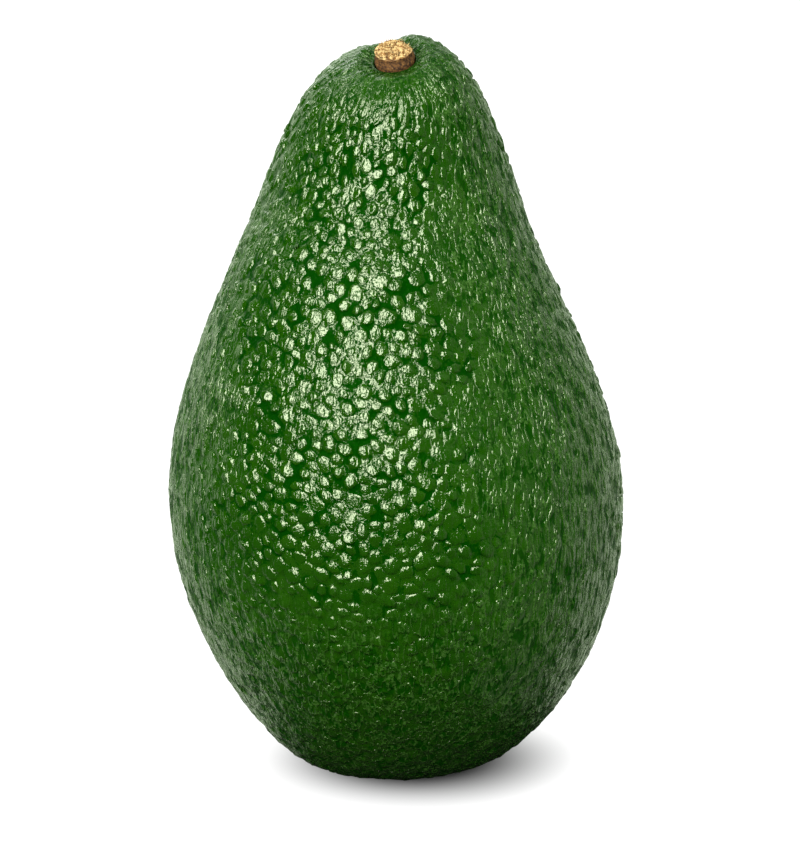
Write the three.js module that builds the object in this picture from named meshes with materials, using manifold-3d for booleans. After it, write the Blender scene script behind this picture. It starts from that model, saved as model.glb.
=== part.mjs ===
// A whole green avocado that stands on its blossom end. It is two pieces: the fruit, one solid whose
// leathery skin is raised in pebbles all over, and the corky stem button that sits in a round socket in
// the pit at its stem end.
//
// Millimetres, +Z up. The origin is the middle of the small flat spot that the fruit rests on. The stem
// end leans towards -Y.

import * as THREE from "three";
import { ConvexHull } from "three/addons/math/ConvexHull.js";
import { mergeVertices } from "three/addons/utils/BufferGeometryUtils.js";
import Module from "manifold-3d";

const { cos, exp, hypot, sin, sqrt, PI } = Math;
const { degToRad, lerp, smoothstep } = THREE.MathUtils;

// ---- The fruit's body -----------------------------------------------------------------------------

// Half outline, as [radius, height, sway] control points of a uniform cubic B-spline, from the blossom
// end up to the stem end. Sway is how far the core stands off towards +X there. The outline runs over
// the tops of the pebbles. What would reach below the floor is pressed flat: that is the resting spot.
const OUTLINE = [
  [0, -0.8, 0],
  [9.5, -0.8, 0],
  [17.4, 2.1, 0.4],
  [25.1, 11.4, 1],
  [31.9, 24.7, 0.5],
  [34.4, 39.2, 0.1],
  [32.5, 54.2, -0.3],
  [26.8, 69.2, -0.9],
  [19.8, 84.2, -1.4],
  [15.7, 97.2, -1.3],
  [10.2, 107.6, 0.6],
  [3, 109.7, 1.2],
  [0, 109.9, 1.2],
];
const UNDULATION = 0.35; // broad soft unevenness of the body
const UNDULATION_LENGTHS = [9, 8, 10]; // of its waves along X, Y and Z, as the length of one radian

// The stem end is bent over about a point on the core, so that the stem leans out of the vertical.
const STEM_LEAN = degToRad(22);
const STEM_AZIMUTH = degToRad(-108); // the way it leans, seen from above, from +X
const BEND_PIVOT = 97;
const BEND_START = 77;
const BEND_END = 109;

// ---- The stem end ---------------------------------------------------------------------------------

const PIT_DEPTH = 1.3;
const PIT_FLOOR = 2.8; // its flat floor and its rim, by their distance from the stem over the skin
const PIT_RIM = 6;
const SHOULDER_DISTANCE = 9; // the shoulder round the pit is uneven: a hump, and a groove through it
const SHOULDER_WIDTH = 6;
const HUMP_RISE = 0.5;
const HUMP_AZIMUTH = degToRad(58);
const HUMP_SPREAD = degToRad(22);
const GROOVE_DEPTH = 0.9;
const GROOVE_AZIMUTH = degToRad(97);
const GROOVE_SPREAD = degToRad(14);
const FOLDS = 14; // puckers of the skin that run out from the stem, where the pebbles give out
const FOLD_DISTANCE = 5.2;

// ---- The skin's pebbles ---------------------------------------------------------------------------

const PEBBLES = 1080;
const PEBBLE_HEIGHT = 0.8; // from the furrows to the tops, on average
const PEBBLE_UNEVENNESS = 0.3; // how much the tops differ in height, and the furrows in depth
const PEBBLE_TOP = 0.6; // how far its flat top reaches towards the furrows
const CORNERS_PER_TOP = 2; // a top has one corner for this many corners of the furrows round it
const PEBBLES_START = 8.2; // from the stem, over the skin
const SMOOTH_BASE = 6; // the skin is smooth this far from the middle of the resting spot
const PEBBLE_JITTER = 0.34; // how far a pebble strays, as a share of the distance between two
const STEM_CROWDING = 1.3; // how many more pebbles there are by the stem than on the belly
const STEM_SMOOTHNESS = 0.5; // how much less of them stands out there
const CROWDING_REACH = 15;
const PEBBLE_SEED = 11;

// ---- The stem button ------------------------------------------------------------------------------

// Half outline, as [radius, height] from its underside up. Height 0 is the level of the skin round it.
const BUTTON_OUTLINE = [
  [0, -1.1],
  [1.3, -1.1],
  [2.5, -1.1],
  [2.8, -0.7],
  [2.9, -0.1],
  [2.95, 0.35],
  [2.82, 0.8],
  [2.74, 1.3],
  [2.77, 1.75],
  [2.5, 2],
  [1.75, 2.04],
  [0.9, 2],
  [0, 2.08],
];
const BUTTON_SIDES = 22;
const BUTTON_TORN_ABOVE = 1.9; // its top is torn across from here up
const BUTTON_ROUGHNESS = 0.14; // how far its corky side stands in and out
const BUTTON_TEAR = 0.34; // how far its torn top stands up and down
const BUTTON_SEED = 5;
const CHIP_DEPTH = 0.45; // broken out of the rim of the top
const CHIP_AZIMUTH = degToRad(30);
const CHIP_SPREAD = degToRad(20);
const SOCKET_RADIUS = 3.3;
const SOCKET_DEPTH = 1.4;
const SOCKET_SIDES = 36;

const SKIN = new THREE.MeshStandardMaterial({ color: 0x1f4d12, roughness: 0.38, metalness: 0 });
const CORK = new THREE.MeshStandardMaterial({ color: 0xb98648, roughness: 0.9, metalness: 0 });

/** A repeatable source of numbers from 0 to 1. */
function seededRandom(seed) {
  let state = seed;
  return () => {
    state = (state * 1664525 + 1013904223) % 4294967296;
    return state / 4294967296;
  };
}

// ---- The smooth body ------------------------------------------------------------------------------

/** Radius, height and sway of the outline's point at t, which runs from 0 to the number of its spans. */
function outlinePoint(t) {
  const spans = OUTLINE.length - 1;
  const span = Math.min(Math.floor(t), spans - 1);
  const f = t - span;
  const weights = [
    (1 - f) ** 3,
    3 * f ** 3 - 6 * f ** 2 + 4,
    -3 * f ** 3 + 3 * f ** 2 + 3 * f + 1,
    f ** 3,
  ];
  const point = { radius: 0, height: 0, sway: 0 };
  weights.forEach((weight, i) => {
    const at = span - 1 + i;
    const folded = at < 0 ? -at : at > spans ? 2 * spans - at : at; // past a pole, the other side's point
    const [radius, height, sway] = OUTLINE[folded];
    point.radius += ((at === folded ? 1 : -1) * weight * radius) / 6;
    point.height += (weight * height) / 6;
    point.sway += (weight * sway) / 6;
  });
  return point;
}

/** How many times more pebbles there are than on the belly, by the distance from the stem. */
function crowdingAt(toStem) {
  return 1 + STEM_CROWDING * exp(-((toStem / CROWDING_REACH) ** 2));
}

/**
 * Rows of the outline: radius, height, sway, length from the blossom end and to the stem end, the share of
 * the pebbles below, and the height `ball` of the same ring on a unit ball onto which the skin is mapped
 * without shearing it.
 */
function outlineRows(steps = 800) {
  const rows = [];
  for (let i = 0; i <= steps; i++) rows.push(outlinePoint((i / steps) * (OUTLINE.length - 1)));
  const gap = (i) => hypot(rows[i].radius - rows[i - 1].radius, rows[i].height - rows[i - 1].height);
  rows[0].length = 0;
  for (let i = 1; i <= steps; i++) rows[i].length = rows[i - 1].length + gap(i);
  rows.forEach((row) => (row.toStem = rows[steps].length - row.length));
  rows[0].share = 0;
  for (let i = 1; i <= steps; i++) {
    const band = gap(i) * (rows[i].radius + rows[i - 1].radius);
    rows[i].share = rows[i - 1].share + band * crowdingAt(rows[i].toStem);
  }
  rows[1].turns = 0;
  for (let i = 2; i < steps; i++)
    rows[i].turns = rows[i - 1].turns + (2 * gap(i)) / (rows[i].radius + rows[i - 1].radius);
  const widest = rows.reduce((best, row) => (row.radius > best.radius ? row : best)).turns;
  const whole = rows[steps].share;
  rows.forEach((row, i) => {
    row.share /= whole;
    row.ball = i === 0 ? -1 : i === steps ? 1 : Math.tanh(row.turns - widest);
  });
  return rows;
}

/** The skin's area, over the rows of the outline. */
function skinArea(rows) {
  const band = (row, i) => (row.length - rows[i].length) * 2 * PI * row.radius;
  return rows.slice(1).reduce((area, row, i) => area + band(row, i), 0);
}

const ROWS = outlineRows();
const SKIN_AREA = skinArea(ROWS);

/** The outline's row where one of its values, which must rise from row to row, is `wanted`. */
function rowWhere(value, wanted) {
  let low = 0;
  let high = ROWS.length - 1;
  while (high - low > 1) {
    const middle = (low + high) >> 1;
    if (ROWS[middle][value] > wanted) high = middle;
    else low = middle;
  }
  const f = (wanted - ROWS[low][value]) / (ROWS[high][value] - ROWS[low][value]);
  const names = ["radius", "height", "sway", "length", "toStem", "ball"];
  return Object.fromEntries(names.map((name) => [name, lerp(ROWS[low][name], ROWS[high][name], f)]));
}

const BEND_AXIS = new THREE.Vector3(-sin(STEM_AZIMUTH), cos(STEM_AZIMUTH), 0);

/** Turns a point of the upright body over with the stem end, by its row, and sways it with the core. */
function bend(point, { height, sway }) {
  point.z -= BEND_PIVOT;
  point.applyAxisAngle(BEND_AXIS, STEM_LEAN * smoothstep(height, BEND_START, BEND_END));
  point.z += BEND_PIVOT;
  point.x += sway;
  return point;
}

// ---- The relief -----------------------------------------------------------------------------------

/** A bell of height 1 over the azimuths about `centre`. */
function bell(azimuth, centre, spread) {
  return exp((cos(azimuth - centre) - 1) / spread ** 2);
}

/** How far the skin stands out of the body of revolution, pebbles left out. */
function broadRelief(point, toStem, azimuth) {
  const [alongX, alongY, alongZ] = UNDULATION_LENGTHS;
  const soft = sin(point.x / alongX + 1.1) * sin(point.y / alongY + 0.4) * sin(point.z / alongZ + 0.9);
  const pit = 1 - smoothstep(toStem, PIT_FLOOR, PIT_RIM);
  const shoulder = exp(-(((toStem - SHOULDER_DISTANCE) / SHOULDER_WIDTH) ** 2));
  const hump = HUMP_RISE * bell(azimuth, HUMP_AZIMUTH, HUMP_SPREAD);
  const groove = GROOVE_DEPTH * bell(azimuth, GROOVE_AZIMUTH, GROOVE_SPREAD);
  return UNDULATION * soft - PIT_DEPTH * pit + shoulder * (hump - groove);
}

/** The place on the unit ball for a length up the outline and an azimuth. */
function onBall(length, azimuth) {
  const { ball } = rowWhere("length", length);
  const ring = sqrt(1 - ball * ball);
  return new THREE.Vector3(ring * cos(azimuth), ring * sin(azimuth), ball);
}

/** The middles of the folds, and of the pebbles, laid along a golden-angle spiral, each a little astray. */
function pebbleCentres(random) {
  const stray = () => (random() - 0.5) * 2 * PEBBLE_JITTER;
  const top = ROWS[ROWS.length - 1].length;
  const centres = [onBall(top, 0)];
  for (let i = 0; i < FOLDS; i++)
    centres.push(onBall(top - FOLD_DISTANCE - stray(), ((i + 0.4 * stray()) / FOLDS) * 2 * PI));
  for (let i = 0; i < PEBBLES; i++) {
    const row = rowWhere("share", (i + 0.5) / PEBBLES);
    const spacing = sqrt(SKIN_AREA / PEBBLES / crowdingAt(row.toStem));
    const azimuth = i * PI * (3 - sqrt(5)) + (spacing * stray()) / row.radius;
    if (row.toStem > PEBBLES_START) centres.push(onBall(row.length + spacing * stray(), azimuth));
  }
  return centres;
}

/** The furrow corners round a pebble, anticlockwise from outside, given a hull edge into its middle. */
function cornersRound(edge, corner) {
  const ring = [];
  let at = edge;
  do {
    ring.push(corner.get(at.face));
    at = at.twin.prev;
  } while (at !== edge);
  return ring;
}

/** Adds a pebble to the net: its flat top, and the slopes from there down to its furrow corners. */
function addPebble({ points, heights, facets }, middle, corners, height) {
  const tops = [];
  for (let i = 0; i < corners.length; i += CORNERS_PER_TOP) {
    const shared = corners.slice(i, i + CORNERS_PER_TOP);
    const top = new THREE.Vector3();
    shared.forEach((at) => top.addScaledVector(points[at], 1 / shared.length));
    tops.push(points.push(top.lerp(middle, 1 - PEBBLE_TOP).normalize()) - 1);
    heights.push(height);
  }
  corners.forEach((at, i) => {
    const next = (i + 1) % corners.length;
    const top = tops[Math.floor(i / CORNERS_PER_TOP)];
    const nextTop = tops[Math.floor(next / CORNERS_PER_TOP)];
    facets.push(at, corners[next], top);
    if (nextTop !== top) facets.push(corners[next], nextTop, top);
  });
  for (let i = 1; i < tops.length - 1; i++) facets.push(tops[0], tops[i], tops[i + 1]);
}

/** The skin on a unit ball: flat-topped pebbles, furrows between, as points, their heights, and facets. */
function pebbleNet(random) {
  const centres = pebbleCentres(random);
  const faces = new ConvexHull().setFromPoints(centres).faces;
  const corner = new Map(faces.map((face, i) => [face, i]));
  const edgeInto = new Map();
  const uneven = () => (random() - 0.5) * PEBBLE_UNEVENNESS;
  const net = { points: [], heights: [], facets: [] };
  faces.forEach((face) => {
    const middle = new THREE.Vector3();
    [face.edge, face.edge.next, face.edge.prev].forEach((edge) => {
      middle.add(edge.head().point);
      edgeInto.set(edge.head().point, edge);
    });
    net.points.push(middle.normalize());
    net.heights.push(uneven() - PEBBLE_HEIGHT);
  });
  centres.forEach((middle) => addPebble(net, middle, cornersRound(edgeInto.get(middle), corner), uneven()));
  return net;
}

/** The share of the pebbles' height there is in a row: less by the stem, none where the fruit rests. */
function pebbledAt({ length, toStem }) {
  const byStem = 1 - STEM_SMOOTHNESS * exp(-((toStem / CROWDING_REACH) ** 2));
  return byStem * smoothstep(length, SMOOTH_BASE, 2 * SMOOTH_BASE);
}

/** A point of the unit ball on the smooth body, with the row and the azimuth it is at. */
function onBody(point) {
  const row = rowWhere("ball", point.z);
  const azimuth = Math.atan2(point.y, point.x);
  const place = new THREE.Vector3(row.radius * cos(azimuth), row.radius * sin(azimuth), row.height);
  return { place: bend(place, row), row, azimuth };
}

/** The skin as one closed faceted surface. */
function skinGeometry() {
  const { points, heights, facets } = pebbleNet(seededRandom(PEBBLE_SEED));
  const body = points.map(onBody);
  const geometry = new THREE.BufferGeometry().setFromPoints(body.map(({ place }) => place));
  geometry.setIndex(facets);
  geometry.computeVertexNormals();
  const normals = geometry.getAttribute("normal");
  const position = geometry.getAttribute("position");
  body.forEach(({ place, row, azimuth }, i) => {
    const rise = broadRelief(place, row.toStem, azimuth) + pebbledAt(row) * heights[i];
    place.addScaledVector(new THREE.Vector3().fromBufferAttribute(normals, i), rise);
    position.setXYZ(i, place.x, place.y, Math.max(place.z, 0));
  });
  geometry.deleteAttribute("normal");
  return geometry;
}

// ---- The stem button and its socket ---------------------------------------------------------------

/** A turned piece along +Z, as one closed surface whose vertices are shared. */
function turned(outline, sides) {
  const points = outline.map(([radius, height]) => new THREE.Vector2(radius, height));
  const geometry = new THREE.LatheGeometry(points, sides).rotateX(PI / 2);
  geometry.deleteAttribute("normal");
  geometry.deleteAttribute("uv");
  return mergeVertices(geometry, 1e-4);
}

/** The stem button, with its corky side and its torn top, whose rim is chipped. */
function buttonGeometry() {
  const random = seededRandom(BUTTON_SEED);
  const geometry = turned(BUTTON_OUTLINE, BUTTON_SIDES);
  const position = geometry.getAttribute("position");
  const point = new THREE.Vector3();
  for (let i = 0; i < position.count; i++) {
    point.fromBufferAttribute(position, i);
    const [sideways, outwards, upwards] = [random() - 0.5, random() - 0.5, random() - 0.5];
    const fromAxis = hypot(point.x, point.y);
    const azimuth = Math.atan2(point.y, point.x);
    const torn = point.z > BUTTON_TORN_ABOVE;
    const chipped = (fromAxis / SOCKET_RADIUS) * bell(azimuth, CHIP_AZIMUTH, CHIP_SPREAD);
    const chip = torn ? CHIP_DEPTH * chipped : 0;
    const out = (torn ? BUTTON_TEAR : point.z > 0 ? BUTTON_ROUGHNESS : 0) * outwards - chip / 2;
    const across = torn ? BUTTON_TEAR * sideways : 0;
    const up = torn ? BUTTON_TEAR * upwards - chip : 0;
    position.setXYZ(
      i,
      point.x + out * cos(azimuth) - across * sin(azimuth),
      point.y + out * sin(azimuth) + across * cos(azimuth),
      point.z + up,
    );
  }
  return geometry;
}

/** The plain cylinder that is cut out of the fruit for the button, from well above the skin. */
function socketGeometry() {
  const outline = [
    [0, -SOCKET_DEPTH],
    [SOCKET_RADIUS, -SOCKET_DEPTH],
    [SOCKET_RADIUS, SOCKET_RADIUS],
    [0, SOCKET_RADIUS],
  ];
  return turned(outline, SOCKET_SIDES);
}

/** The group whose +Z is the stem's line and whose origin is in the middle of the pit. */
function stemEnd() {
  const pole = outlinePoint(OUTLINE.length - 1);
  const group = new THREE.Group();
  group.position.copy(bend(new THREE.Vector3(0, 0, pole.height - PIT_DEPTH), pole));
  group.quaternion.setFromAxisAngle(BEND_AXIS, STEM_LEAN);
  group.updateMatrix();
  return group;
}

// ---- Solids ---------------------------------------------------------------------------------------

const wasm = await Module();
wasm.setup();

/** A closed surface whose vertices are shared, as a solid. */
function solidOf(geometry) {
  return new wasm.Manifold(
    new wasm.Mesh({
      numProp: 3,
      vertProperties: new Float32Array(geometry.getAttribute("position").array),
      triVerts: new Uint32Array(geometry.index.array),
    }),
  );
}

/** A solid's surface. */
function geometryOf(solid) {
  const mesh = solid.getMesh();
  const geometry = new THREE.BufferGeometry();
  geometry.setAttribute("position", new THREE.BufferAttribute(mesh.vertProperties, 3));
  geometry.setIndex(new THREE.BufferAttribute(mesh.triVerts, 1));
  return geometry;
}

/** The fruit, with the socket cut in its stem end. */
function fruit(stem) {
  const socket = socketGeometry().applyMatrix4(stem.matrix);
  const mesh = new THREE.Mesh(geometryOf(solidOf(skinGeometry()).subtract(solidOf(socket))), SKIN);
  mesh.name = "fruit";
  return mesh;
}

/** The stem button. */
function stemButton() {
  const mesh = new THREE.Mesh(buttonGeometry(), CORK);
  mesh.name = "stem_button";
  return mesh;
}

const avocado = new THREE.Group();
const stem = stemEnd();
stem.add(stemButton());
avocado.add(fruit(stem), stem);

export default avocado;
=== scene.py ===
"""A whole green avocado that stands on its blossom end.

The fruit is one closed skin raised in pebbles, with a socket at its stem end. The corky stem button
sits in the socket. Sizes of the pieces are in millimetres up to their last step, which puts each mesh in
metres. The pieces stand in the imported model's own frame, and each replaces the node of its name.
"""
import logging
import math
from dataclasses import dataclass, field
from enum import Enum
from typing import Any

import bpy
import numpy as np
from mathutils import Euler, Matrix, Vector
from mathutils.geometry import delaunay_2d_cdt


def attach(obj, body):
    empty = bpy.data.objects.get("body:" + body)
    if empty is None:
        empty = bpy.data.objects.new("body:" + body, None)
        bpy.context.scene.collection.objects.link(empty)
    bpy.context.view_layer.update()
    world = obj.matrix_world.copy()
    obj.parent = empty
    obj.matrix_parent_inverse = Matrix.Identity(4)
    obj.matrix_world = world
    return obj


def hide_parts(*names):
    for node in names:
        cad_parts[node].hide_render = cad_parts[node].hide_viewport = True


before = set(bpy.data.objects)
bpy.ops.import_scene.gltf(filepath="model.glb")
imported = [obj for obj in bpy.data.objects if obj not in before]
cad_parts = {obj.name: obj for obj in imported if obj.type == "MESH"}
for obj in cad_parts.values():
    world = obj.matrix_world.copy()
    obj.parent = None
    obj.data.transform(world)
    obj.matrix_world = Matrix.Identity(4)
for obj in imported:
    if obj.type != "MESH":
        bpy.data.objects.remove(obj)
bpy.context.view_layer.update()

logging.basicConfig(level=logging.INFO, format="%(message)s")
log = logging.getLogger("avocado")

MM = 0.001
ROOT_BODY = "root"
BLACK = (0, 0, 0)
WHITE = (1, 1, 1)
LEVEL = (1.0, 1.0, 0.0)  # a vector times this lies level

Array = np.ndarray
Pair = tuple[float, float]
Triple = tuple[float, float, float]


class Slot(str, Enum):
    """The record's material slots."""

    SKIN = "skin"
    CORK = "cork"


class Layer(str, Enum):
    """Numbers that a mesh carries at each of its points, for its relief and its finish."""

    RISE = "rise"
    FURROW = "furrow"
    TONE = "tone"
    GROWN = "grown"
    TO_STEM = "to_stem"
    TO_BLOSSOM = "to_blossom"
    BARK = "bark"
    DEPTH = "depth"
    CALM = "calm"


# ---- Sums -------------------------------------------------------------------------------------------


def smoothstep(x: Array, low: float, high: float) -> Array:
    """A soft step from 0 where x is low to 1 where it is high."""
    t = np.clip((x - low) / (high - low), 0, 1)
    return t * t * (3 - 2 * t)


def hill(x: Array, middle: float, width: float) -> Array:
    """A hill of height 1 about middle."""
    return np.exp(-(((x - middle) / width) ** 2))


def bell(azimuth: Array, centre: float, spread: float) -> Array:
    """A hill of height 1 over the azimuths about centre, both in degrees, for azimuths in radians."""
    return np.exp((np.cos(azimuth - math.radians(centre)) - 1) / math.radians(spread) ** 2)


def around(azimuth: Array, across: Array | float, along: Array | float) -> Array:
    """Points at an azimuth, a distance across from the axis and a distance along it."""
    parts = (across * np.cos(azimuth), across * np.sin(azimuth), along * np.ones_like(azimuth))
    return np.stack(parts, axis=-1)


def climbed(steps: Array) -> Array:
    """The sum of the steps up to each place, from 0 at the first."""
    return np.concatenate(([0.0], np.cumsum(steps)))


def halfway(values: Array) -> Array:
    """The mean of each two neighbours."""
    return (values[1:] + values[:-1]) / 2


def on_ball(azimuth: Array, turns: Array) -> Array:
    """Points of the unit ball that stand for places on the skin."""
    return around(azimuth, 1 / np.cosh(turns), np.tanh(turns))


def off_ball(points: Array) -> tuple[Array, Array]:
    """The azimuths and turns that the directions of points from the ball's middle stand for."""
    x, y, z = points.T
    return np.arctan2(y, x), np.arcsinh(z / np.maximum(np.hypot(x, y), 1e-9))


def polygons(*corners: Array) -> list[tuple[int, ...]]:
    """Faces, from the places of all their first corners, of all their second ones, and so on."""
    return list(zip(*(places.ravel().tolist() for places in corners)))


def facing(towards: Vector) -> Euler:
    """The rotation of a light or a camera that looks back from a direction."""
    return towards.to_track_quat("Z", "Y").to_euler()


# ---- Node trees -------------------------------------------------------------------------------------


class Wire:
    """A socket that Python's operators do sums on, for numbers and for vectors alike."""

    def __init__(self, board: "Board", socket: bpy.types.NodeSocket) -> None:
        """Wraps an output socket of a node on a board."""
        self.board = board
        self.socket = socket

    @property
    def is_vector(self) -> bool:
        """True where the socket holds a vector or a colour."""
        return self.socket.type in {"VECTOR", "RGBA"}

    def sum_with(self, operation: str, left: Any, right: Any = None) -> "Wire":
        """Adds the Math or Vector Math node of an operation.

        Args:
            operation: The node's operation.
            left: A wire, a number or a vector.
            right: The same, where the operation takes two.

        Returns:
            The node's result.
        """
        vectors = any(isinstance(value, Wire) and value.is_vector for value in (left, right))
        kind = "ShaderNodeVectorMath" if vectors else "ShaderNodeMath"
        return self.board.node(kind, {"operation": operation}, {0: left, 1: right})[0]

    def __add__(self, other: Any) -> "Wire":
        """The sum."""
        return self.sum_with("ADD", self, other)

    def __sub__(self, other: Any) -> "Wire":
        """The difference."""
        return self.sum_with("SUBTRACT", self, other)

    def __rsub__(self, other: Any) -> "Wire":
        """The difference, with the wire on the right."""
        return self.sum_with("SUBTRACT", other, self)

    def __mul__(self, other: Any) -> "Wire":
        """The product."""
        return self.sum_with("MULTIPLY", self, other)

    def __truediv__(self, other: Any) -> "Wire":
        """The quotient."""
        return self.sum_with("DIVIDE", self, other)

    __radd__ = __add__
    __rmul__ = __mul__

    def at_least(self, other: Any) -> "Wire":
        """The larger of the two."""
        return self.sum_with("MAXIMUM", self, other)

    def at_most(self, other: Any) -> "Wire":
        """The smaller of the two."""
        return self.sum_with("MINIMUM", self, other)

    def length(self) -> "Wire":
        """How long a vector is."""
        return self.sum_with("LENGTH", self)

    def way(self) -> "Wire":
        """The vector of length 1 that points the same way."""
        return self.sum_with("NORMALIZE", self)

    def along(self, way: Any) -> "Wire":
        """How far a vector goes the way of one of length 1."""
        return self.sum_with("DOT_PRODUCT", self, way)

    def parts(self) -> list["Wire"]:
        """A vector's three numbers."""
        return self.board.node("ShaderNodeSeparateXYZ", None, {0: self})

    def upward(self) -> "Wire":
        """The vector that goes straight up by a number."""
        return self.board.node("ShaderNodeCombineXYZ", None, {2: self})[0]

    def step(self, low: float, high: float) -> "Wire":
        """A soft step from 0 where the wire is low to 1 where it is high.

        Args:
            low: Where the step starts, which may be above where it ends.
            high: Where the step ends.

        Returns:
            The step's height.
        """
        ends = (low, high) if low < high else (high, low)
        results = (0.0, 1.0) if low < high else (1.0, 0.0)
        sockets = {0: self, 1: ends[0], 2: ends[1], 3: results[0], 4: results[1]}
        return self.board.node("ShaderNodeMapRange", {"interpolation_type": "SMOOTHSTEP"}, sockets)[0]


@dataclass(frozen=True)
class Noise:
    """A pattern of soft noise, which goes from 0 to 1 about 0.5."""

    size: float  # of one of its patches, in the units of the place where it is read
    detail: float = 2.0  # how many finer layers it has
    rough: float = 0.5  # how strong they are
    upright: float = 1.0  # the share of the height that counts: below 1, its patches are tall
    relief: float = 0.0  # how high it stands in a bump


class Board:
    """A node tree that is being wired up."""

    def __init__(self, tree: bpy.types.NodeTree) -> None:
        """Clears a tree and takes it over."""
        self.tree = tree
        tree.nodes.clear()

    def node(
        self,
        kind: str,
        settings: dict[str, Any] | None = None,
        sockets: dict[int | str, Any] | None = None,
    ) -> list[Wire]:
        """Adds a node.

        Args:
            kind: The node's type.
            settings: Its properties, which are set first.
            sockets: What goes into its inputs, by their place or name: wires or plain values.

        Returns:
            Its outputs that are in use with these settings.
        """
        made = self.tree.nodes.new(kind)
        for name, value in (settings or {}).items():
            setattr(made, name, value)
        for key, value in (sockets or {}).items():
            if isinstance(value, Wire):
                self.tree.links.new(value.socket, made.inputs[key])
            elif value is not None:
                made.inputs[key].default_value = value
        return [Wire(self, socket) for socket in made.outputs if socket.enabled]

    def mix(self, factor: Any, left: Any, right: Any) -> Wire:
        """Mixes two colours.

        Args:
            factor: The share of the right one.
            left: A wire, or three numbers.
            right: A wire, or three numbers.

        Returns:
            The mixed colour.
        """
        pair = [value if isinstance(value, Wire) else (*value, 1.0) for value in (left, right)]
        settings = {"data_type": "RGBA", "clamp_factor": True}
        return self.node("ShaderNodeMix", settings, {0: factor, 6: pair[0], 7: pair[1]})[0]

    def noise(self, place: Wire, noise: Noise) -> Wire:
        """Reads a pattern of noise.

        Args:
            place: Where it is read.
            noise: The pattern.

        Returns:
            The number there.
        """
        if noise.upright != 1:
            place = place * (1.0, 1.0, noise.upright)
        layers = {"Detail": noise.detail, "Roughness": noise.rough}
        sockets = {"Vector": place, "Scale": 1 / noise.size, **layers}
        return self.node("ShaderNodeTexNoise", {"noise_dimensions": "3D"}, sockets)[0]

    def cells(self, place: Wire, size: float) -> list[Wire]:
        """Scattered cells: how far the nearest one is, then its random colour and its place."""
        settings = {"voronoi_dimensions": "3D", "feature": "F1"}
        return self.node("ShaderNodeTexVoronoi", settings, {"Vector": place, "Scale": 1 / size})


class ShaderBoard(Board):
    """A material's node tree. Its place is the point of the surface, in the piece's own metres."""

    def __init__(self, name: str) -> None:
        """Makes an empty material.

        Args:
            name: Its name.
        """
        self.material = bpy.data.materials.new(name)
        self.material.use_nodes = True
        super().__init__(self.material.node_tree)
        self.place = self.node("ShaderNodeTexCoord")[3]

    def layer(self, layer: Layer) -> Wire:
        """A number that the mesh carries."""
        return self.node("ShaderNodeAttribute", {"attribute_name": layer.value})[2]

    def shader(self, sockets: dict[str, Any]) -> Wire:
        """Adds a Principled shader with these inputs."""
        return self.node("ShaderNodeBsdfPrincipled", None, sockets)[0]

    def bump(self, height: Wire) -> Wire:
        """The normal of a surface that also has a fine relief of this height, in metres."""
        return self.node("ShaderNodeBump", None, {"Strength": 1.0, "Distance": 1.0, "Height": height})[0]

    def finish(self, shader: Wire) -> bpy.types.Material:
        """Ends the tree with the shader that the surface shows, and hands over the material."""
        self.node("ShaderNodeOutputMaterial", None, {"Surface": shader})
        return self.material


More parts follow.
